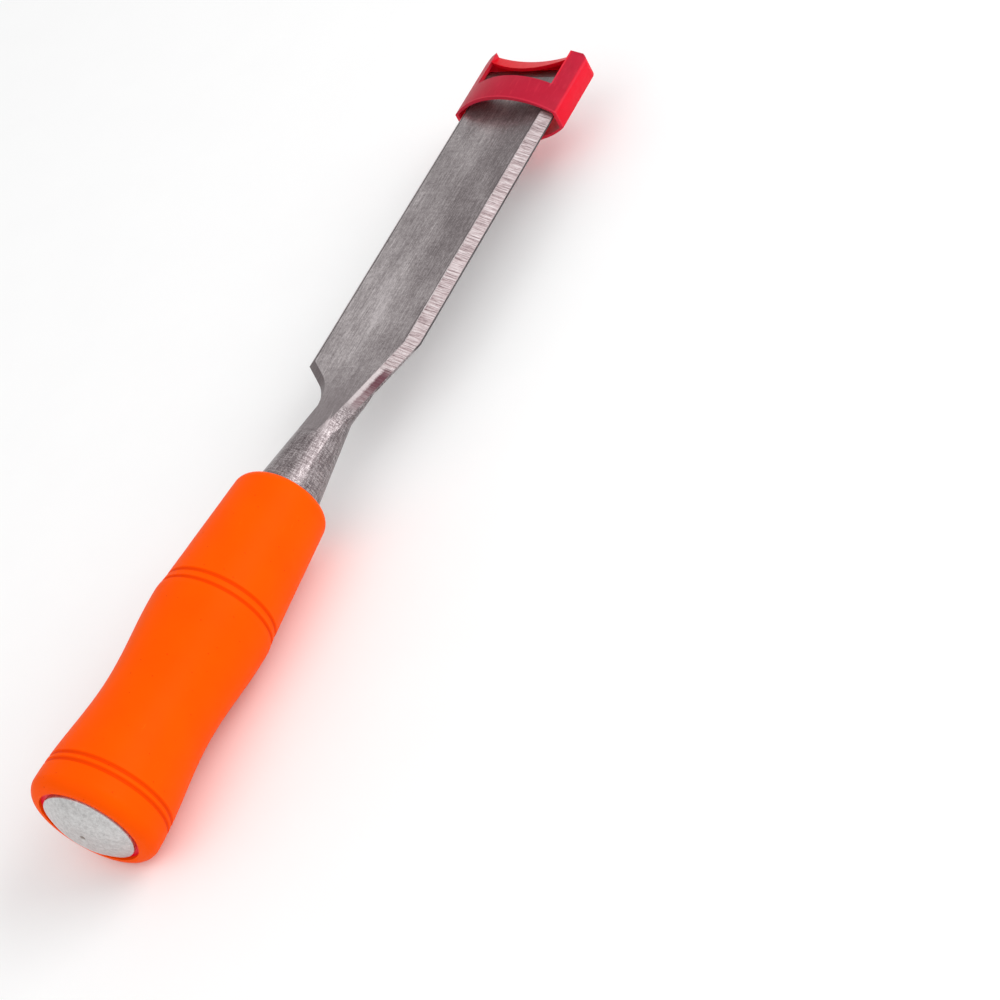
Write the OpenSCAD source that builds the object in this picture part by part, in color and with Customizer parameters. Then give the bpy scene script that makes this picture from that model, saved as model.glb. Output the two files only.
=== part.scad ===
// Bench chisel with a steel strike cap, a two-layer handle and a slip-on edge guard.
// +X runs from the butt to the cutting edge, +Z is the bevelled face, the back is flat.
// The origin is the centre of the strike cap's striking face.

/* [Blade] */
// Width of the blade across its sides
blade_w = 32; // [24:1:50]
// Thickness of the blade
blade_t = 3; // [2.4:0.1:4]
// Length from the left shoulder's corner to the cutting edge
blade_l = 118; // [90:1:160]
// Height of the flat back above the handle's axis
back_z = 1.4; // [0.5:0.1:2]
// Width of the side bevels, measured across the blade
bevel_w = 2.9; // [2:0.1:4]
// Upright land left under the side bevels
land_h = 0.6; // [0.3:0.1:1.2]
// Angle of the ground cutting bevel
edge_angle = 25; // [20:1:35]
// Land left at the cutting edge
edge_land = 0.1; // [0.05:0.05:0.3]
// Width of the bevels along the shoulders
shoulder_bevel = 2.3; // [1.5:0.1:3]
// Angle of the left shoulder to the blade's length
left_angle = 48; // [40:1:60]
// Angle of the long right shoulder to the blade's length
right_angle = 18; // [16:1:30]
// Distance that the right shoulder starts nearer the edge than the left
right_lead = 10; // [0:1:16]

/* [Neck and tang] */
// Length of the neck from the handle to the left shoulder's corner
neck_l = 44; // [36:1:60]
// Radius of the neck where it leaves the handle
neck_base_r = 9; // [8:0.1:10.8]
// Radius of the neck at its waist
neck_waist_r = 5.2; // [4.8:0.1:6.5]
// Distance from the waist of the neck to the left shoulder's corner
waist_back = 15; // [13:0.5:18]
// Growth of the neck's radius from its waist to the left shoulder's corner
neck_flare = 2.6; // [1:0.1:3.5]
// Radius of the fillet between the neck and the left shoulder
left_fillet_r = 11.5; // [8:0.5:14]
// Radius of the fillet between the neck and the right shoulder
right_fillet_r = 40; // [25:1:50]
// Distance that the neck's belly runs on under the blade
belly_run = 22; // [12:1:40]
// Radius of the run-out where the ground face leaves the neck
runout_r = 35; // [20:1:60]
// Width of the square tang at the bolster
tang_big = 9; // [7:0.5:11]
// Width of the square tang at its end
tang_small = 5; // [4:0.5:7]
// Distance left between the tang's end and the cap's shank
tang_gap = 12; // [4:1:30]

/* [Handle] */
// Length of the handle
handle_l = 104; // [90:1:130]
// Radius of the handle near the butt
butt_r = 17.35; // [15.5:0.05:20]
// Radius of the handle's waist
waist_r = 14.8; // [13.5:0.05:18]
// Radius of the handle's belly
belly_r = 16.35; // [14.5:0.05:19]
// Radius of the handle just in front of the front grooves
nose_r = 15.75; // [14:0.05:18.5]
// Radius of the handle at its front end
front_r = 13.3; // [13:0.05:16]
// Distance from the butt to the waist
waist_x = 36; // [32:1:44]
// Distance from the waist to the belly
belly_dx = 27; // [22:1:30]
// Rounding of the butt end, where its wall allows it
butt_round = 3.6; // [2:0.1:5]
// Rounding of the front end, where its wall allows it
front_round = 3.8; // [2:0.1:5]
// Radius of each ring groove's section
groove_r = 0.7; // [0.4:0.1:1]
// Depth of each ring groove
groove_depth = 0.45; // [0.2:0.05:0.6]
// Distance from the butt to the first rear groove
rear_groove_x = 8.2; // [6:0.1:12]
// Distance between the rear grooves
rear_groove_gap = 2.1; // [1.6:0.1:4]
// Distance from the butt to the first front groove
front_groove_x = 65.2; // [58:0.1:72]
// Distance between the front grooves
front_groove_gap = 2.7; // [1.6:0.1:4]

/* [Core and strike cap] */
// Radius of the hard core inside the grip
core_r = 11; // [10:0.1:12]
// Width of the ring of core seen round the strike cap
recess_gap = 1.2; // [0.6:0.1:2]
// Length of the core's head
core_head_l = 4; // [3:0.5:8]
// Depth of the grip's butt recess down to the core
recess_d = 1; // [0.5:0.1:2]
// Thickness of grip in front of the core
front_wall = 7; // [5:0.5:10]
// Radius of the strike cap
cap_r = 12.4; // [10:0.1:14.9]
// Height of the strike cap's dome above its rim
cap_dome = 2.8; // [1.5:0.1:4]
// Height of the upright rim of the strike cap
cap_rim = 1.2; // [0.6:0.1:2]
// Radius of the flat at the centre of the dome
cap_flat_r = 3; // [2:0.1:5]
// Radius of the cap's shank
shank_r = 4; // [3:0.1:5]
// Length of the cap's shank
shank_l = 22; // [12:1:24]

/* [Edge guard] */
// Clearance between the guard and the blade
guard_gap = 0.4; // [0.3:0.05:0.8]
// Wall of the guard
guard_wall = 1.1; // [0.8:0.1:1.4]
// Length of the guard along its sides
guard_l = 24.2; // [20:0.1:34]
// Room under the blade besides the clearance
floor_room = 2.4; // [1:0.1:3]
// Width of the sloping rails
rail_w = 4.5; // [3.5:0.1:6.5]
// Angle of the sloping rails
rail_angle = 34; // [25:1:36]
// Length of the bowed bands at the mouth
band_l = 9; // [6:0.5:11]
// Rise of the front band above the side walls
front_bow = 6.7; // [5:0.1:9]
// Drop of the back band below the side walls
back_bow = 5.4; // [3:0.1:7]
// Depth of the hollow in the guard's tip outline
tip_hollow = 2.5; // [1:0.1:4]
// Rounding of the tip's corners, seen from above
tip_round = 3; // [1:0.1:4]
// Slope of the toe plate over the cutting bevel
toe_angle = 25; // [18:1:26]
// Radius of the dish across the toe plate
toe_dish_r = 60; // [40:1:90]
// Distance from the toe plate's bowed foot to the cutting edge
toe_lap = 4; // [2.5:0.1:6]
// Bow of the toe plate's foot towards the handle
toe_bow = 3; // [0.5:0.1:4]

/* [Hidden] */
round_fn = 96;
arc_fn = 192;

// stations along the X axis
rim_x = cap_dome;
butt_x = cap_dome + cap_rim - recess_d;
core_x = butt_x + recess_d;
front_x = butt_x + handle_l;
bolster_x = front_x - front_wall;
shoulder_x = front_x + neck_l;
neck_waist_x = shoulder_x - waist_back;
edge_x = shoulder_x + blade_l;

// levels and lengths of the blade
face_z = back_z + blade_t;
land_z = back_z + land_h;
bevel_h = blade_t - land_h;
half_w = blade_w / 2;
heel_x = edge_x - (blade_t - edge_land) / tan(edge_angle);
belly_end_x = shoulder_x + belly_run;
neck_slope = (neck_base_r - neck_waist_r) / (neck_waist_x - front_x);
bolster_r = neck_base_r + neck_slope * front_wall;

// sizes and stations of the handle
core_head_r = cap_r + recess_gap;
shank_end_x = core_x + shank_l;
tang_end_x = shank_end_x + tang_gap;
butt_arc_r = min(butt_round, butt_r - core_head_r - 0.1);
front_arc_r = min(front_round, front_r - neck_base_r - 0.3);
round_x = butt_x + butt_arc_r;
hollow_x = butt_x + waist_x;
bulge_x = hollow_x + belly_dx;
step_x = butt_x + front_groove_x + front_groove_gap;
nose_x = front_x - front_arc_r;

// levels and lengths of the guard
cut_x = edge_x + guard_gap;
tip_mid_x = cut_x + guard_wall;
tip_x = tip_mid_x + tip_hollow;
mouth_x = tip_x - guard_l;
in_half = half_w + guard_gap;
out_half = in_half + guard_wall;
ridge_z = face_z + (guard_gap + guard_wall) / cos(rail_angle)
    - (bevel_w + guard_gap + guard_wall) * tan(rail_angle);
floor_z = back_z - guard_gap - guard_wall - floor_room;
rail_top_z = ridge_z + rail_w * tan(rail_angle);
rail_in = out_half - rail_w;
rail_drop = guard_wall / cos(rail_angle);
body_x = mouth_x + band_l - 2;
tall = 4 * blade_w;
toe_x = edge_x - toe_lap;
toe_z = face_z + guard_gap + guard_wall / cos(toe_angle);

// turns a profile of [radius, x] points about the X axis
module turned(points) {
    rotate([0, 90, 0]) rotate_extrude($fn = round_fn) polygon(points);
}

// extrudes a section of [y, z] points along X
module along_x(from_x, to_x) {
    translate([from_x, 0, 0]) rotate([90, 0, 90]) linear_extrude(to_x - from_x) children();
}

// extrudes a side view of [x, z] points across the tool
module across_y(width) {
    rotate([90, 0, 0]) linear_extrude(width, center = true) children();
}

module both_sides() {
    children();
    mirror([0, 1, 0]) children();
}

// ---- blade ----

// section that planes a bevel off an edge at 0, with the body on the negative side
module bevel_cut(width) {
    slope = bevel_h / width;
    polygon([[1, land_z - slope], [1, face_z + 1], [-width - 1 / slope, face_z + 1]]);
}

// half of the slab with its side, its shoulder and the fillet into the neck;
// the fillet sinks a hair into the shoulder, and the two halves overlap by lap
module slab_half(corner_x, angle, fillet_r) {
    sink = 0.02;
    lap = 1;
    run = fillet_r * tan(angle / 2);
    meet_x = corner_x - (half_w - neck_waist_r) / tan(angle);
    arc_x = meet_x - run;
    arc_y = neck_waist_r + fillet_r - sink;
    shoulder_l = (half_w - neck_waist_r) / sin(angle) - run;
    difference() {
        translate([0, 0, back_z]) linear_extrude(blade_t)
            polygon([[arc_x, -lap], [arc_x, neck_waist_r],
                     [meet_x + run * cos(angle), neck_waist_r + run * sin(angle)],
                     [corner_x, half_w], [edge_x, half_w], [edge_x, -lap]]);
        // fillet and its bevel
        translate([arc_x, arc_y, back_z - 1]) cylinder(r = fillet_r, h = land_h + 1.01, $fn = arc_fn);
        translate([arc_x, arc_y, land_z])
            cylinder(r1 = fillet_r, r2 = fillet_r + 2 * shoulder_bevel, h = 2 * bevel_h, $fn = arc_fn);
        // bevels along the side and down the shoulder
        along_x(arc_x, edge_x + 1) translate([half_w, 0]) bevel_cut(bevel_w);
        translate([corner_x, half_w, 0]) rotate([0, 0, angle])
            along_x(-shoulder_l, half_w) bevel_cut(shoulder_bevel);
    }
}

// round neck from the bolster to the end of its belly under the blade
module neck() {
    end_r = neck_waist_r + neck_flare * (belly_end_x - neck_waist_x) / waist_back;
    mid_x = neck_waist_x + waist_back / 3;
    mid_r = neck_waist_r + neck_flare / 6;
    // sweep that lifts the belly to the flat back: it leaves the neck past the waist
    // and tops out just inside the slab
    lift_x = neck_waist_x + 2;
    lift_top = back_z + 0.05;
    lift_h = lift_top + neck_waist_r + neck_flare / waist_back;
    lift_r = (pow(belly_end_x - lift_x, 2) + pow(lift_h, 2)) / (2 * lift_h);
    difference() {
        turned([[0, bolster_x], [bolster_r, bolster_x], [neck_base_r, front_x],
                [neck_waist_r, neck_waist_x], [mid_r, mid_x], [end_r, belly_end_x], [0, belly_end_x]]);
        translate([belly_end_x, 0, lift_top - lift_r]) rotate([90, 0, 0])
            cylinder(r = lift_r, h = 6 * end_r, center = true, $fn = 256);
        // ground face and its run-out on the neck
        translate([neck_waist_x, -half_w, face_z]) cube([2 * blade_l, blade_w, 4 * end_r]);
        intersection() {
            translate([neck_waist_x, 0, face_z + runout_r]) rotate([90, 0, 0])
                cylinder(r = runout_r, h = blade_w, center = true, $fn = 192);
            translate([front_x, -half_w, 0]) cube([neck_waist_x - front_x + 0.01, blade_w, 3 * bolster_r]);
        }
    }
}

// square tapered tang, from the bolster back into the core
module tang() {
    taper = [[bolster_x, -tang_big / 2], [bolster_x, tang_big / 2],
             [tang_end_x, tang_small / 2], [tang_end_x, -tang_small / 2]];
    intersection() {
        across_y(2 * tang_big) polygon(taper);
        linear_extrude(2 * tang_big, center = true) polygon(taper);
    }
}

module blade() {
    color("lightgray") difference() {
        union() {
            slab_half(shoulder_x, left_angle, left_fillet_r);
            mirror([0, 1, 0]) slab_half(shoulder_x + right_lead, right_angle, right_fillet_r);
            neck();
            tang();
        }
        // cutting bevel
        across_y(2 * blade_w)
            polygon([[heel_x, face_z], [edge_x, back_z + edge_land], [edge_x + 1, back_z + edge_land],
                     [edge_x + 1, face_z + 1], [heel_x, face_z + 1]]);
    }
}

// ---- handle ----

module handle_core() {
    color("crimson") difference() {
        turned([[0, core_x], [core_head_r, core_x], [core_head_r, core_x + core_head_l],
                [core_r, core_x + core_head_l], [core_r, bolster_x], [0, bolster_x]]);
        tang();
        translate([core_x - 1, 0, 0]) rotate([0, 90, 0])
            cylinder(r = shank_r, h = shank_l + 1, $fn = round_fn);
    }
}

// smooth step from 0 to 1
function ease(u) = (1 - cos(180 * u)) / 2;

// radius of the grip at x
function grip_r(x) =
    x < round_x ? butt_r :
    x < hollow_x ? butt_r + (waist_r - butt_r) * ease((x - round_x) / (hollow_x - round_x)) :
    x < bulge_x ? waist_r + (belly_r - waist_r) * ease((x - hollow_x) / (bulge_x - hollow_x)) :
    x < step_x ? belly_r + (nose_r - belly_r) * ease((x - bulge_x) / (step_x - bulge_x)) :
    nose_r + (front_r - nose_r) * (x - step_x) / (nose_x - step_x);

module groove(x) {
    translate([x, 0, 0]) rotate([0, 90, 0]) rotate_extrude($fn = round_fn)
        translate([grip_r(x) - groove_depth + groove_r, 0]) circle(r = groove_r, $fn = 24);
}

module grip_sleeve() {
    steps = 60;
    arcs = 12;
    butt_arc = [for (i = [0 : arcs]) let (a = 90 * i / arcs)
        [butt_r - butt_arc_r * (1 - sin(a)), round_x - butt_arc_r * cos(a)]];
    side = [for (i = [1 : steps]) let (x = round_x + (nose_x - round_x) * i / steps) [grip_r(x), x]];
    nose_arc = [for (i = [1 : arcs]) let (a = 90 * i / arcs)
        [front_r - front_arc_r * (1 - cos(a)), nose_x + front_arc_r * sin(a)]];
    hole = [[neck_base_r, front_x], [bolster_r, bolster_x], [core_r, bolster_x],
            [core_r, core_x + core_head_l], [core_head_r, core_x + core_head_l], [core_head_r, butt_x]];
    color("orangered") difference() {
        turned(concat(butt_arc, side, nose_arc, hole));
        groove(butt_x + rear_groove_x);
        groove(butt_x + rear_groove_x + rear_groove_gap);
        groove(butt_x + front_groove_x);
        groove(butt_x + front_groove_x + front_groove_gap);
    }
}

module strike_cap() {
    arcs = 10;
    chamfer = 0.25;
    dome_w = cap_r - chamfer - cap_flat_r;
    dome = [for (i = [0 : arcs]) let (u = i / arcs) [cap_flat_r + dome_w * u, rim_x * u * u]];
    color("gainsboro") union() {
        turned(concat([[0, 0]], dome, [[cap_r, rim_x + chamfer], [cap_r, core_x], [0, core_x]]));
        translate([core_x - 0.5, 0, 0]) rotate([0, 90, 0])
            cylinder(r = shank_r, h = shank_l + 0.5, $fn = round_fn);
    }
}

// ---- edge guard ----

// arch through both side walls: rise is its height above them
function arch_r(half, rise) = (half * half + rise * rise) / (2 * rise);

// closed outline of the guard's section between its side walls and two bows
module lens(half, top_z, up, low_z, down) {
    union() {
        translate([-half, low_z]) square([2 * half, top_z - low_z]);
        intersection() {
            translate([0, top_z + up - arch_r(half, up)]) circle(r = arch_r(half, up), $fn = 192);
            translate([-half, top_z - 0.01]) square([2 * half, up + 1]);
        }
        intersection() {
            translate([0, low_z - down + arch_r(half, down)]) circle(r = arch_r(half, down), $fn = 192);
            translate([-half, low_z - down - 1]) square([2 * half, down + 1.01]);
        }
    }
}

// bowed band round the mouth
module mouth_band() {
    along_x(mouth_x, mouth_x + band_l) difference() {
        lens(out_half, ridge_z, front_bow, floor_z, back_bow);
        lens(in_half, ridge_z, front_bow - guard_wall, floor_z, back_bow - guard_wall);
    }
}

// outside of the guard's body: side walls with rails sloping up to a flat top
module body_block() {
    along_x(body_x, tip_x) polygon([[-out_half, floor_z], [out_half, floor_z], [out_half, ridge_z],
        [rail_in, rail_top_z], [-rail_in, rail_top_z], [-out_half, ridge_z]]);
}

// space round the blade, under the rails and as far as the tip wall
module body_hollow() {
    low_z = floor_z + guard_wall;
    side_z = ridge_z - rail_drop + guard_wall * tan(rail_angle);
    under_z = rail_top_z - rail_drop;
    along_x(body_x - 1, cut_x) polygon([[-in_half, low_z], [in_half, low_z], [in_half, side_z],
        [rail_in, under_z], [-rail_in, under_z], [-in_half, side_z]]);
}

// opening between the rails, from the mouth to the toe plate's bowed foot
module window() {
    foot_r = arch_r(rail_in, toe_bow);
    difference() {
        translate([body_x - 1, -rail_in, face_z]) cube([toe_x + toe_bow - body_x + 1, 2 * rail_in, tall]);
        translate([toe_x + foot_r, 0, 0]) cylinder(r = foot_r, h = tall, $fn = 256);
    }
}

// everything between the rails above a dished surface that slopes down along the toe
module above_toe(drop, reach) {
    intersection() {
        translate([toe_x, 0, toe_z - drop]) rotate([0, 90 + toe_angle, 0])
            translate([-toe_dish_r, 0, -tall]) cylinder(r = toe_dish_r, h = 2 * tall, $fn = 256);
        translate([toe_x, -reach, floor_z]) cube([tall, 2 * reach, tall]);
    }
}

// hollow in the tip's outline, seen from above
module tip_notch() {
    notch_r = arch_r(out_half, tip_hollow);
    translate([tip_mid_x + notch_r, 0, floor_z - 1]) cylinder(r = notch_r, h = tall, $fn = 256);
}

// waste outside one rounded corner of the tip
module tip_corner() {
    translate([tip_x - tip_round, out_half - tip_round, floor_z - 1]) difference() {
        cube([2 * tip_round, 2 * tip_round, tall]);
        translate([0, 0, -1]) cylinder(r = tip_round, h = tall + 2, $fn = 48);
    }
}

module edge_guard() {
    color("crimson") difference() {
        union() {
            difference() {
                body_block();
                difference() {
                    body_hollow();
                    above_toe(guard_wall / cos(toe_angle), blade_w);
                }
                window();
            }
            mouth_band();
        }
        above_toe(0, rail_in);
        tip_notch();
        both_sides() tip_corner();
    }
}

blade();
handle_core();
grip_sleeve();
strike_cap();
edge_guard();
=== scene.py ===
import math

import bmesh
import bpy
from mathutils import Matrix, Vector


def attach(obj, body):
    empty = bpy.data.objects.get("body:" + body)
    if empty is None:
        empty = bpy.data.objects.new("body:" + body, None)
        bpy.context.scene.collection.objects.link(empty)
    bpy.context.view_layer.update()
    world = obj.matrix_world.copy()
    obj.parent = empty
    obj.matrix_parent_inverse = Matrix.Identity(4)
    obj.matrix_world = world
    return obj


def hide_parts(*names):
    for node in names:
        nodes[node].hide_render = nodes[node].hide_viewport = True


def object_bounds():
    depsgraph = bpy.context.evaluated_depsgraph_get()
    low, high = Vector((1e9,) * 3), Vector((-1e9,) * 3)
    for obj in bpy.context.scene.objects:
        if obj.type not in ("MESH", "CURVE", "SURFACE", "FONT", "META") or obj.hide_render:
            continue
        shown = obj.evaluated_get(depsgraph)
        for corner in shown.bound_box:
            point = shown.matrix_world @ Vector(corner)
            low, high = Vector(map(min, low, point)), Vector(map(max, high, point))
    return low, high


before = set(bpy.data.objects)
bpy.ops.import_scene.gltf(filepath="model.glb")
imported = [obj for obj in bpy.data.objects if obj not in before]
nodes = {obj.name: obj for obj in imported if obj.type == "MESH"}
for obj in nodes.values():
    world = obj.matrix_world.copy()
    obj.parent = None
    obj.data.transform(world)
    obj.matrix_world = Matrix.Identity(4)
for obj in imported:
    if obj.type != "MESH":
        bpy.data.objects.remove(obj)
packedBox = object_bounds()
mm = 0.001
print("frame loaded:", ", ".join(sorted(nodes)))


# shader maths

class Wire:  # one node output that Python's own operators work on
    def __init__(self, finish, socket):
        self.finish, self.socket = finish, socket

    def maths(self, operation, *values):
        return self.finish.node("ShaderNodeMath", {"operation": operation}, dict(enumerate(values)))

    def __add__(self, other):
        return self.maths("ADD", self, other)

    def __radd__(self, other):
        return self.maths("ADD", other, self)

    def __sub__(self, other):
        return self.maths("SUBTRACT", self, other)

    def __rsub__(self, other):
        return self.maths("SUBTRACT", other, self)

    def __mul__(self, other):
        return self.maths("MULTIPLY", self, other)

    def __rmul__(self, other):
        return self.maths("MULTIPLY", other, self)

    def __abs__(self):
        return self.maths("ABSOLUTE", self)

    def rise(self, low, high):  # 0 below low, 1 above high, eased between; falls where low is the larger
        ends = {"Value": self, "From Min": min(low, high), "From Max": max(low, high)}
        eased = self.finish.node("ShaderNodeMapRange", {"interpolation_type": "SMOOTHSTEP"}, ends)
        return eased if low < high else 1 - eased

    def band(self, low, high, soft):  # 1 between low and high
        return self.rise(low - soft, low + soft) * self.rise(high + soft, high - soft)


class Finish:  # one material and the nodes that paint it
    def __init__(self, name, **constants):
        self.material = bpy.data.materials.new(name)
        self.material.use_nodes = True
        self.tree = self.material.node_tree
        self.shader = self.tree.nodes["Principled BSDF"]
        for socket, value in constants.items():
            self.shader.inputs[socket.replace("_", " ")].default_value = value
        coords = self.node("ShaderNodeTexCoord", out="Object")
        self.place = self.node("ShaderNodeVectorMath", {"operation": "SCALE"}, {"Vector": coords, "Scale": 1 / mm})
        axes = (self.node("ShaderNodeSeparateXYZ", {}, {"Vector": self.place}, out=axis) for axis in range(3))
        self.x, self.y, self.z = axes

    def node(self, kind, settings=None, values=None, out=0):
        made = self.tree.nodes.new(kind)
        for key, value in (settings or {}).items():
            if key == "stops":
                ramp = made.color_ramp
                for spot, (at, colour) in enumerate(value):
                    stop = ramp.elements[spot] if spot < 2 else ramp.elements.new(at)
                    stop.position, stop.color = at, (*colour, 1)
            else:
                setattr(made, key, value)
        for key, value in (values or {}).items():
            if isinstance(value, Wire):
                self.tree.links.new(value.socket, made.inputs[key])
            else:
                made.inputs[key].default_value = value
        return Wire(self, made.outputs[out])

    def point(self, x, y, z):  # a vector from three wires or numbers
        return self.node("ShaderNodeCombineXYZ", {}, {"X": x, "Y": y, "Z": z})

    def stretched(self, along, across, up):  # the piece's millimetres, scaled on each axis
        scales = {0: self.place, 1: (along, across, up)}
        return self.node("ShaderNodeVectorMath", {"operation": "MULTIPLY"}, scales)

    def noise(self, vector, scale=1.0, detail=3.0, rough=0.55):
        values = {"Vector": vector, "Scale": scale, "Detail": detail, "Roughness": rough}
        return self.node("ShaderNodeTexNoise", {}, values)

    def cells(self, vector, scale=1.0):  # distance from the nearest cell's middle
        return self.node("ShaderNodeTexVoronoi", {}, {"Vector": vector, "Scale": scale}, out="Distance")

    def ramp(self, value, *stops):
        return self.node("ShaderNodeValToRGB", {"stops": stops}, {"Fac": value})

    def blend(self, share, first, second):  # two colours; sockets 6 and 7 are the Mix node's colour inputs
        paints = [paint if isinstance(paint, Wire) else (*paint, 1) for paint in (first, second)]
        settings = {"data_type": "RGBA", "blend_type": "MIX", "clamp_factor": True}
        return self.node("ShaderNodeMix", settings, {0: share, 6: paints[0], 7: paints[1]}, out=2)

    def feed(self, **wires):
        for socket, wire in wires.items():
            self.tree.links.new(wire.socket, self.shader.inputs[socket.replace("_", " ")])

    def bump(self, height, depth, strength):  # depth in mm for a height that runs from 0 to 1
        values = {"Height": height, "Distance": depth * mm, "Strength": strength}
        self.feed(Normal=self.node("ShaderNodeBump", {}, values))


def layered(patterns, shares):  # patterns swung about nought, each by its share, and added up
    swings = [(pattern - 0.5) * share for pattern, share in zip(patterns, shares)]
    total = swings[0]
    for swing in swings[1:]:
        total = total + swing
    return total


# mesh helpers

weld = {"spun": 0.002, "packed": 0.001, "flatWithin": 0.2}  # mm, mm and degrees


def newPiece(name, bm, material, sharpAngle=35):  # edges above the angle in degrees are shaded sharp
    mesh = bpy.data.meshes.new(name)
    bm.to_mesh(mesh)
    bm.free()
    mesh.shade_smooth()
    mesh.set_sharp_from_angle(angle=math.radians(sharpAngle))
    mesh.materials.append(material)
    piece = bpy.data.objects.new(name, mesh)
    bpy.context.scene.collection.objects.link(piece)
    return piece


def spunAboutX(outline, steps):  # outline of (x, radius) in mm, with both its ends on the axis
    bm = bmesh.new()
    line = [bm.verts.new((x * mm, 0, radius * mm)) for x, radius in outline]
    edges = [bm.edges.new(pair) for pair in zip(line, line[1:])]
    bmesh.ops.spin(bm, geom=line + edges, cent=(0, 0, 0), axis=(1, 0, 0), angle=2 * math.pi,
                   steps=steps, use_merge=True)
    bmesh.ops.remove_doubles(bm, verts=bm.verts, dist=weld["spun"] * mm)
    bmesh.ops.recalc_face_normals(bm, faces=bm.faces)
    return bm


def mergedCopy(node):  # the node's own triangles, welded, with its flat faces made whole again
    bm = bmesh.new()
    bm.from_mesh(nodes[node].data)
    bmesh.ops.remove_doubles(bm, verts=bm.verts, dist=weld["packed"] * mm)
    bmesh.ops.dissolve_limit(bm, angle_limit=math.radians(weld["flatWithin"]), use_dissolve_boundaries=False,
                             verts=bm.verts, edges=bm.edges, delimit={"NORMAL"})
    return bm


def softenEdges(bm, width, sharperThan):  # rounds over every edge that turns by more than the angle
    limit = math.radians(sharperThan)
    sharp = [edge for edge in bm.edges if len(edge.link_faces) == 2 and edge.calc_face_angle(0) > limit]
    bmesh.ops.bevel(bm, geom=sharp, offset=width * mm, offset_type="OFFSET", affect="EDGES", segments=2,
                    profile=0.5, material=-1, clamp_overlap=True)


# blade

steel = {
    "halfWidth": 16, "bevel": 2.9, "shoulderBevel": 2.3, "landLevel": 2.0, "faceLevel": 4.4,
    "groundFrom": 122, "groundFade": 9, "leftShoulder": 151, "leftAngle": 48, "rightShoulder": 161, "rightAngle": 18,
    "edgeRound": 0.07, "roundAbove": 32, "sharpAbove": 12, "metallic": 0.8, "specular": 0.5,
    "faceDark": (0.19, 0.162, 0.166), "faceGrey": (0.37, 0.330, 0.334), "facePale": (0.66, 0.605, 0.61),
    "bevelGrey": (0.13, 0.09, 0.094), "bevelPale": (0.34, 0.275, 0.28), "bevelWhite": (0.52, 0.47, 0.475),
    "neckDark": (0.085, 0.064, 0.067), "neckGrey": (0.23, 0.195, 0.20), "neckPale": (0.52, 0.47, 0.475),
    "maroonReflection": (0.085, 0.022, 0.034), "edgeShade": (0.05, 0.042, 0.044), "pit": (0.07, 0.045, 0.045),
    # how fine each pattern is along, across and up
    "brushing": (0.12, 3.6, 3.6), "mottle": (1.1, 1.7, 1.7), "specks": (3.2, 4.2, 4.2),
    "cloud": (0.05, 0.10, 0.10), "worn": (0.9, 0.16, 0.16),
    "rings": (4.2, 0.30, 0.30), "streaks": (0.10, 1.5, 1.5), "pits": (0.55, 0.8, 0.8), "grit": 3.0,
    "slant": 0.22, "coarse": (1.9, 0.12), "fine": (4.2, 0.5),  # grinding marks: lean, and how fine along and across
    # how much of each pattern goes into a tone
    "faceShares": (0.85, 0.7, 0.5, 0.6, 0.2), "markShares": (2.2, 1.5), "neckShares": (0.8, 0.6, 1.1),
    "rightShade": 0.13, "shadeMiddle": 200, "shadePerMm": 0.0024,  # painted shade: the face darkens to the right and to the edge
    "roughness": 0.33, "reliefDepth": 0.035, "reliefStrength": 0.8,
}


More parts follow.
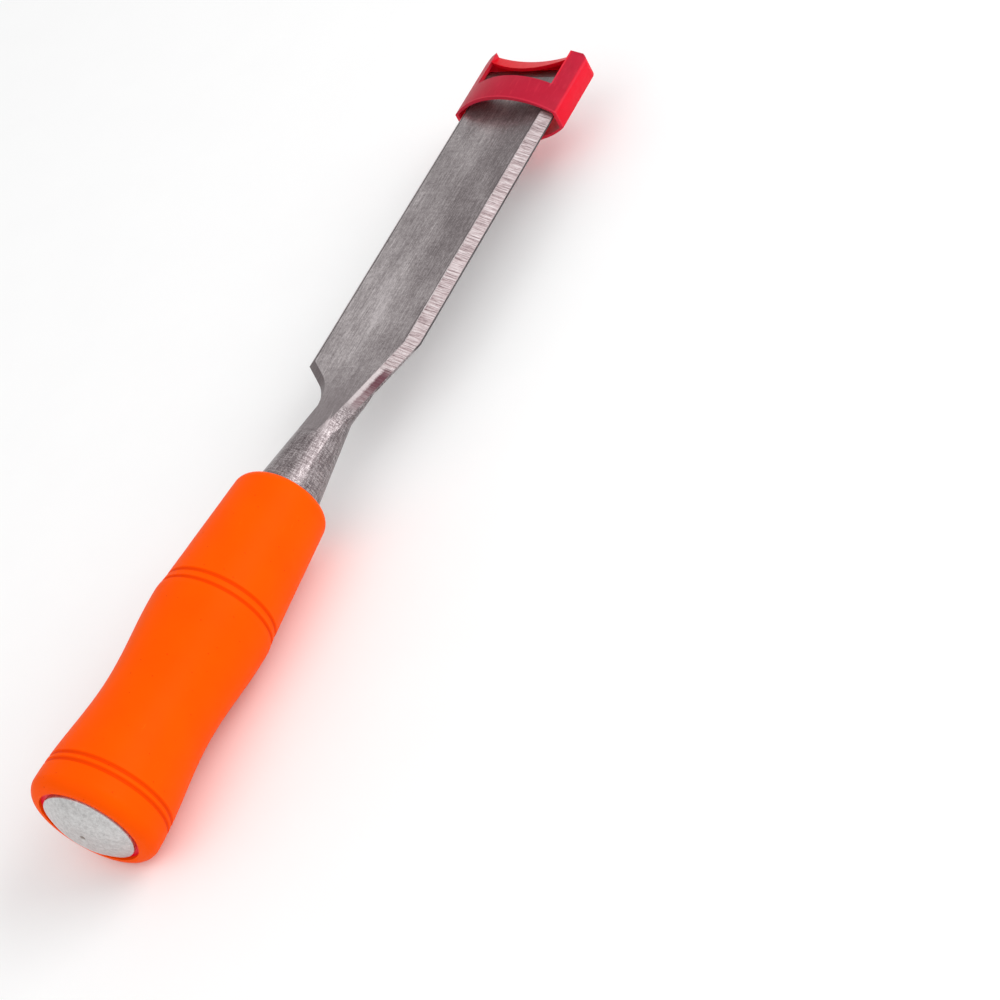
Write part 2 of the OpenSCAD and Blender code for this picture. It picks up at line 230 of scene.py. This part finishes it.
def bladeSteel():
    f = Finish("bladeSteel", Metallic=steel["metallic"], Specular_IOR_Level=steel["specular"])
    x, y, z = f.x, f.y, f.z
    left, right, bevelWide = steel["leftShoulder"], steel["rightShoulder"], steel["bevel"]
    groundOut = x.rise(steel["groundFrom"], steel["groundFrom"] + steel["groundFade"])
    onFace = z.rise(steel["faceLevel"] - 0.12, steel["faceLevel"] - 0.03) * groundOut

    def inFrom(shoulder, angle, side):  # distance inwards from a shoulder's edge, in mm
        turn = math.radians(angle)
        return (x - shoulder) * math.sin(turn) + (steel["halfWidth"] - y * side) * math.cos(turn)

    leftIn = inFrom(left, steel["leftAngle"], 1)
    rightIn = inFrom(right, steel["rightAngle"], -1)
    sideIn = steel["halfWidth"] - abs(y)
    nearShoulder = steel["shoulderBevel"] + 0.05
    offSide = 1 - sideIn.rise(bevelWide + 0.1, bevelWide)
    offLeft = 1 - leftIn.rise(nearShoulder + 0.1, nearShoulder)
    offRight = 1 - rightIn.rise(nearShoulder + 0.1, nearShoulder)
    outside = 1 - offSide * offLeft * offRight
    sloping = z.rise(steel["landLevel"], steel["landLevel"] + 0.06) * (1 - onFace)
    onBevel = outside * sloping * x.rise(left - 16, left - 12)
    onNeck = x.rise(left + 4, left - 4) * (1 - onFace) * (1 - onBevel)

    # the ground face: fine brushing, small mottling and broad uneven tone
    brushing = f.noise(f.stretched(*steel["brushing"]), 1.0, 4, 0.66)
    mottle = f.noise(f.stretched(*steel["mottle"]), 1.0, 4, 0.68)
    specks = f.noise(f.stretched(*steel["specks"]), 1.0, 2, 0.6)
    cloud = f.noise(f.stretched(*steel["cloud"]), 1.0, 2)
    worn = f.noise(f.stretched(*steel["worn"]), 1.0, 3, 0.6)
    tone = layered((brushing, mottle, specks, cloud, worn), steel["faceShares"])
    # painted shade: the tone is pulled darker to the right and towards the edge
    tone = tone + 0.5 - y.rise(1, -5) * steel["rightShade"] - (x - steel["shadeMiddle"]) * steel["shadePerMm"]
    face = f.ramp(tone, (0.22, steel["faceDark"]), (0.5, steel["faceGrey"]), (0.80, steel["facePale"]))
    # a dark line painted on the face along the right bevel's inner edge
    rightBevelLine = sideIn.band(bevelWide + 0.25, bevelWide + 0.5, 0.1) * y.rise(2, -2) * x.rise(right - 4, right)
    face = f.blend(rightBevelLine * 0.6, face, steel["neckDark"])
    face = f.blend(x.rise(left + 1, left - 17) * 0.75, face, steel["neckGrey"])  # painted shade: the face greys towards the neck over its run-out

    # the ground bevels: coarse slanted marks, and a painted dark maroon reflection under a painted highlight strip
    # where the right one runs out
    slant = x + y * steel["slant"]
    (coarseAlong, coarseAcross), (fineAlong, fineAcross) = steel["coarse"], steel["fine"]
    coarse = f.noise(f.point(slant * coarseAlong, y * coarseAcross, 0), 1.0, 3, 0.7)
    fine = f.noise(f.point(slant * fineAlong, y * fineAcross, 4), 1.0, 3, 0.7)
    marks = layered((coarse, fine), steel["markShares"]) + 0.5
    bevel = f.ramp(marks, (0.10, steel["bevelGrey"]), (0.5, steel["bevelPale"]), (0.9, steel["bevelWhite"]))
    runOut = x.rise(left + 0.5, left - 2.5) * y.rise(2, -2)
    rim = rightIn + (mottle - 0.5) * 0.8
    deep = x.rise(left - 12, left - 5) * 0.45 + 0.45
    # painted reflection: a dark maroon patch where the right bevel runs out
    bevel = f.blend(runOut * rim.rise(1.7, 1.1) * deep, bevel, steel["maroonReflection"])
    # painted highlight: a pale strip along the inner edge of that run-out
    bevel = f.blend(runOut * rim.rise(1.2, 1.8) * 0.8, bevel, steel["bevelWhite"])
    # painted shade: the left bevels darkened from the left shoulder towards the neck
    bevel = f.blend(y.rise(1, 3) * x.rise(left + 6, left) * 0.75, bevel, steel["neckDark"])

    # the turned neck: fine rings, long streaks and a few pits
    rings = f.noise(f.stretched(*steel["rings"]), 1.0, 3, 0.6)
    streaks = f.noise(f.stretched(*steel["streaks"]), 1.0, 3)
    pits = f.cells(f.stretched(*steel["pits"])).rise(0.10, 0.04)
    grit = f.noise(f.place, steel["grit"], 3, 0.7)
    neckTone = layered((rings, streaks, grit), steel["neckShares"]) + 0.5
    neck = f.ramp(neckTone, (0.24, steel["neckDark"]), (0.5, steel["neckGrey"]), (0.78, steel["neckPale"]))
    neck = f.blend(pits * 0.8, neck, steel["pit"])

    # the three together, with a painted dark reflection along the upright land and painted shade along the left rim
    colour = f.blend(onNeck, face, neck)
    colour = f.blend(onBevel, colour, bevel)
    onLand = z.rise(steel["landLevel"] + 0.03, steel["landLevel"] - 0.05) * x.rise(left - 3, left)
    leftRim = sideIn.rise(bevelWide + 0.42, bevelWide + 0.2) * y.rise(-2, 2) * onFace
    colour = f.blend(onLand * 0.85 * sideIn.rise(1, 0.5) + leftRim * 0.9, colour, steel["edgeShade"])
    f.feed(Base_Color=colour)
    f.feed(Roughness=steel["roughness"] + (mottle - 0.5) * 0.16 + onBevel * (0.08 + marks * 0.1) + onNeck * 0.02)
    faceRelief = onFace * (brushing * 0.4 + mottle * 0.35)
    neckRelief = onNeck * (rings * 0.12 + grit * 0.18 - pits * 1.2)
    f.bump(faceRelief + onBevel * marks * 1.6 + neckRelief, steel["reliefDepth"], steel["reliefStrength"])
    return f.material


def buildBlade():
    bm = mergedCopy("blade")
    softenEdges(bm, steel["edgeRound"], steel["roundAbove"])
    piece = newPiece("bladeBlank", bm, bladeSteel(), steel["sharpAbove"])
    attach(piece, "chisel")
    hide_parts("blade")
    print("blade ground")


# grip

grip = {
    "grooves": (11.2, 13.3, 68.2, 70.9), "grooveHalf": 0.42, "grooveFade": 0.15, "specular": 0.02,
    "orange": (1.0, 0.082, 0.0), "bright": (1.0, 0.115, 0.0), "worn": (1.0, 0.19, 0.006), "grimeAndShade": (0.66, 0.024, 0.0),
    "skin": 2.6, "cloud": 0.09, "scuffs": (0.10, 2.4, 2.4), "patch": 0.07, "specks": 0.32,  # how fine each pattern is
    "brightShare": 0.6, "wornShare": 0.5, "speckShare": 0.6, "grooveShadeShare": 0.5,
    "roughness": 0.44, "reliefDepth": 0.03, "reliefStrength": 0.7,
}


def gripPlastic():
    f = Finish("gripPlastic", Specular_IOR_Level=grip["specular"])
    skin = f.noise(f.place, grip["skin"], 3, 0.6)
    cloud = f.noise(f.place, grip["cloud"], 2)
    scuffs = f.noise(f.stretched(*grip["scuffs"]), 1.0, 3, 0.7).rise(0.66, 0.74)
    patch = f.noise(f.place, grip["patch"], 1).rise(0.5, 0.64)
    specks = f.cells(f.place, grip["specks"]).rise(0.085, 0.04)
    colour = f.blend(cloud * grip["brightShare"], grip["orange"], grip["bright"])
    colour = f.blend(scuffs * patch * grip["wornShare"], colour, grip["worn"])
    colour = f.blend(specks * grip["speckShare"], colour, grip["grimeAndShade"])
    # painted shade: the grooves are darkened with the grime colour
    grooveShade = 0
    for at in grip["grooves"]:
        grooveShade = f.x.band(at - grip["grooveHalf"], at + grip["grooveHalf"], grip["grooveFade"]) + grooveShade
    colour = f.blend(grooveShade * grip["grooveShadeShare"], colour, grip["grimeAndShade"])
    f.feed(Base_Color=colour)
    f.feed(Roughness=grip["roughness"] + (skin - 0.5) * 0.14 + scuffs * patch * 0.12)
    f.bump(skin * 0.5 + scuffs * patch * 0.5 + specks * 0.5, grip["reliefDepth"], grip["reliefStrength"])
    return f.material


def dressGrip():
    nodes["grip_sleeve"].material_slots[0].material = gripPlastic()
    print("grip dressed")


# core

core = {
    "crimson": (0.90, 0.0, 0.022), "rosy": (1.0, 0.006, 0.05), "specular": 0.12, "skin": 3.0, "cloud": 0.2,
    "roughness": 0.34, "reliefDepth": 0.02, "reliefStrength": 0.6,
}


def corePlastic():
    f = Finish("corePlastic", Specular_IOR_Level=core["specular"])
    skin = f.noise(f.place, core["skin"], 3, 0.6)
    cloud = f.noise(f.place, core["cloud"], 2)
    f.feed(Base_Color=f.blend(cloud, core["crimson"], core["rosy"]))
    f.feed(Roughness=core["roughness"] + (skin - 0.5) * 0.12)
    f.bump(skin, core["reliefDepth"], core["reliefStrength"])
    return f.material


def dressCore():
    nodes["handle_core"].material_slots[0].material = corePlastic()
    print("core dressed")


# strike cap

cap = {
    "radius": 12.4, "rim": 2.8, "seat": 4.0, "flat": 3.0, "chamfer": 0.25, "dimple": 0.75, "dimpleDeep": 0.35,
    "breakAt": 9.6, "breakWide": 0.35, "breakHigh": 0.05, "shank": 4.0, "shankEnd": 26.0,
    "steps": 160, "domeSteps": 14, "outerSteps": 5, "sharpAbove": 30,
    "dark": (0.42, 0.405, 0.40), "grey": (0.60, 0.59, 0.585), "pale": (0.76, 0.75, 0.745),
    "scratch": (0.34, 0.32, 0.31), "rust": (0.20, 0.15, 0.12),
    "mottle": 0.85, "grain": 3.5, "lathe": 5.0, "scratches": (0.3, 3.0, 0.22),  # how fine each pattern is
    "shares": (1.2, 0.7, 0.35), "roughness": 0.40, "reliefDepth": 0.05, "reliefStrength": 0.8,
}


def capSteel():
    f = Finish("capSteel", Metallic=1.0)
    radius = f.node("ShaderNodeVectorMath", {"operation": "LENGTH"}, {0: f.stretched(0, 1, 1)}, out="Value")
    mottle = f.noise(f.place, cap["mottle"], 4, 0.65)
    grain = f.noise(f.place, cap["grain"], 3, 0.6)
    lathe = f.noise(f.point(radius * cap["lathe"], 0, 0), 1.0, 2)
    scratches = f.noise(f.stretched(*cap["scratches"]), 1.0, 3, 0.7).rise(0.64, 0.76)
    tone = layered((mottle, grain, lathe), cap["shares"]) + 0.5
    colour = f.ramp(tone, (0.15, cap["dark"]), (0.5, cap["grey"]), (0.85, cap["pale"]))
    colour = f.blend(scratches * 0.35, colour, cap["scratch"])
    colour = f.blend(radius.rise(1.0, 0.5) * 0.75, colour, cap["rust"])  # in the dimple
    f.feed(Base_Color=colour)
    f.feed(Roughness=cap["roughness"] + (mottle - 0.5) * 0.25 + scratches * 0.1)
    relief = mottle * 0.6 + grain * 0.35 + lathe * 0.25 - scratches * 0.3
    f.bump(relief, cap["reliefDepth"], cap["reliefStrength"])
    return f.material


def capOutline():
    reach = cap["radius"] - cap["chamfer"]
    dimple, deep, breakAt = cap["dimple"], cap["dimpleDeep"], cap["breakAt"]

    def dome(radius):  # the cap's height at a radius
        return cap["rim"] * max(0, (radius - cap["flat"]) / (reach - cap["flat"])) ** 2

    lip = dimple * 1.15
    points = [(deep, 0), (deep * 0.75, dimple * 0.45), (0.06, dimple * 0.85), (0, lip)]
    for step in range(1, cap["domeSteps"] + 1):
        radius = lip + (breakAt - lip) * step / cap["domeSteps"]
        points.append((dome(radius), radius))
    stepOut = breakAt + cap["breakWide"]  # a faint turned step round the dome
    points.append((dome(stepOut) + cap["breakHigh"], stepOut))
    outer = cap["outerSteps"]
    for step in range(1, outer + 1):
        radius = breakAt + 0.7 + (reach - 0.5 - breakAt - 0.7) * step / outer
        points.append((dome(radius) + 0.04 * (outer - step) / outer, radius))
    points += [(dome(reach - 0.25), reach - 0.25)]
    points += [(cap["rim"] + 0.06, cap["radius"] - 0.07), (cap["rim"] + 0.25, cap["radius"])]
    points += [(cap["seat"], cap["radius"]), (cap["seat"], cap["shank"])]
    return points + [(cap["shankEnd"], cap["shank"]), (cap["shankEnd"], 0)]


def buildCap():
    bm = spunAboutX(capOutline(), cap["steps"])
    piece = newPiece("strikeCap", bm, capSteel(), cap["sharpAbove"])
    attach(piece, "chisel")
    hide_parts("strike_cap")
    print("strike cap turned")


# edge guard

guard = {
    "edgeRound": 0.22, "roundAbove": 24, "sharpAbove": 28, "mouth": 248.8, "toe": 261.5, "toeHalf": 13.4,
    "topFrom": 3.3, "outHalf": 17.5, "railIn": 13.0, "railFrom": 7, "ridge": 3.24,
    "wall": (0.92, 0.006, 0.026), "wallRosy": (0.96, 0.012, 0.042),
    "top": (0.52, 0.010, 0.036), "topRosy": (0.62, 0.016, 0.052),
    "plate": (0.80, 0.0, 0.010), "pinkFlowAndHighlight": (0.86, 0.045, 0.09),
    "skin": 2.2, "cloud": 0.22, "flow": (0.25, 1.2, 1.2),  # how fine each pattern is
    "flowShare": 0.2, "lipHighlightShare": 0.5, "ridgeHighlightShare": 0.4, "railHighlightShare": 0.55,
    "specular": 0.08, "seeThrough": 0.28, "bending": 1.3,
    "roughness": 0.42, "reliefDepth": 0.05, "reliefStrength": 0.7,
}


def guardPlastic():
    f = Finish("guardPlastic", Specular_IOR_Level=guard["specular"],
               Transmission_Weight=guard["seeThrough"], IOR=guard["bending"])
    x, y, z = f.x, f.y, f.z
    skin = f.noise(f.place, guard["skin"], 3, 0.6)
    cloud = f.noise(f.place, guard["cloud"], 2)
    flow = f.noise(f.stretched(*guard["flow"]), 1.0, 3)
    top = z.rise(guard["topFrom"], guard["topFrom"] + 0.5)
    acrossPlate = abs(y).rise(guard["toeHalf"] + 0.3, guard["toeHalf"] - 0.3)
    plate = x.rise(guard["toe"] - 0.3, guard["toe"] + 0.3) * acrossPlate
    lip = x.rise(guard["mouth"] + 0.7, guard["mouth"] + 0.3)
    ridge = z.band(guard["ridge"] - 0.25, guard["ridge"] + 0.25, 0.12)
    ridge = abs(y).rise(guard["outHalf"] - 0.5, guard["outHalf"] - 0.25) * ridge
    pastMouth = x.rise(guard["mouth"] + guard["railFrom"], guard["mouth"] + guard["railFrom"] + 2)
    railEdge = abs(y).band(guard["railIn"] - 0.1, guard["railIn"] + 0.35, 0.12) * top * pastMouth
    wallColour = f.blend(cloud, guard["wall"], guard["wallRosy"])
    # painted shade: above the top level the guard takes a darker copy of the wall colour
    colour = f.blend(top, wallColour, f.blend(cloud, guard["top"], guard["topRosy"]))
    colour = f.blend(plate, colour, guard["plate"])
    # the flow streaks are the plastic's own paler tone; the mouth lip, outer ridge and rail edges get painted
    # highlights
    pale = flow.rise(0.5, 0.75) * guard["flowShare"] + lip * guard["lipHighlightShare"]
    pale = pale + ridge * guard["ridgeHighlightShare"] + railEdge * guard["railHighlightShare"]
    f.feed(Base_Color=f.blend(pale, colour, guard["pinkFlowAndHighlight"]))
    f.feed(Roughness=guard["roughness"] + (skin - 0.5) * 0.14)
    f.bump(skin * 0.5 + flow * 0.5, guard["reliefDepth"], guard["reliefStrength"])
    return f.material


def buildGuard():
    bm = mergedCopy("edge_guard")
    softenEdges(bm, guard["edgeRound"], guard["roundAbove"])
    piece = newPiece("edgeGuard", bm, guardPlastic(), guard["sharpAbove"])
    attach(piece, "guard")
    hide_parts("edge_guard")
    print("edge guard moulded")


# floor, light and camera

studio = {
    "floorSize": 6.0, "floorGap": 0.0003, "floorWhite": (0.93, 0.93, 0.93), "floorPale": (0.95, 0.95, 0.95),
    "floorRough": 0.8, "floorSpecular": 0.1, "floorGrain": 0.05,
    "skyWhite": (1.0, 1.0, 1.0), "skyLevel": 0.72, "litPoint": (0.13, 0, 0),
    "softboxes": (  # name, direction from the tool, distance, width, height, watts
        ("key", (0.50, -0.66, 0.56), 1.3, 1.0, 0.9, 8.5),
        ("fill", (-0.60, -0.10, 0.79), 1.5, 1.4, 1.4, 4.5),
    ),
    "lens": 96.3, "cameraAt": (-0.2181, -0.4443, 0.4291), "lookAt": (0.1124, -0.0658, 0.0), "roll": -31.93,
    "clip": (0.02, 20),
}


def setFloor():
    bm = bmesh.new()
    bmesh.ops.create_grid(bm, x_segments=4, y_segments=4, size=studio["floorSize"] / 2)
    bmesh.ops.translate(bm, verts=bm.verts, vec=(packedBox[1].x / 2, 0, packedBox[0].z - studio["floorGap"]))
    paper = Finish("floorPaper", Roughness=studio["floorRough"], Specular_IOR_Level=studio["floorSpecular"])
    grain = paper.noise(paper.place, studio["floorGrain"], 2)
    paper.feed(Base_Color=paper.blend(grain, studio["floorWhite"], studio["floorPale"]))
    newPiece("floor", bm, paper.material)
    print("floor laid")


def setLights():
    middle = Vector(studio["litPoint"])
    for name, towards, distance, width, height, watts in studio["softboxes"]:
        light = bpy.data.lights.new(name, "AREA")
        light.shape, light.size, light.size_y, light.energy = "RECTANGLE", width, height, watts
        lamp = bpy.data.objects.new(name, light)
        away = Vector(towards).normalized()
        lamp.location = middle + away * distance
        lamp.rotation_euler = (-away).to_track_quat("-Z", "Y").to_euler()
        bpy.context.scene.collection.objects.link(lamp)
    world = bpy.data.worlds.new("studioSky")
    world.use_nodes = True
    sky = world.node_tree.nodes["Background"]
    sky.inputs["Color"].default_value = (*studio["skyWhite"], 1)
    sky.inputs["Strength"].default_value = studio["skyLevel"]
    bpy.context.scene.world = world
    bpy.context.scene.view_settings.view_transform = "Standard"
    print("lights up")


def setCamera():
    camera = bpy.data.objects.new("camera", bpy.data.cameras.new("camera"))
    camera.data.lens = studio["lens"]
    camera.data.clip_start, camera.data.clip_end = studio["clip"]
    place = Vector(studio["cameraAt"])
    aim = (Vector(studio["lookAt"]) - place).to_track_quat("-Z", "Y").to_matrix().to_4x4()
    roll = Matrix.Rotation(math.radians(studio["roll"]), 4, "Z")
    camera.matrix_world = Matrix.Translation(place) @ aim @ roll
    bpy.context.scene.collection.objects.link(camera)
    bpy.context.scene.camera = camera
    print("camera set")


buildBlade()
dressGrip()
dressCore()
buildCap()
buildGuard()
setFloor()
setLights()
setCamera()
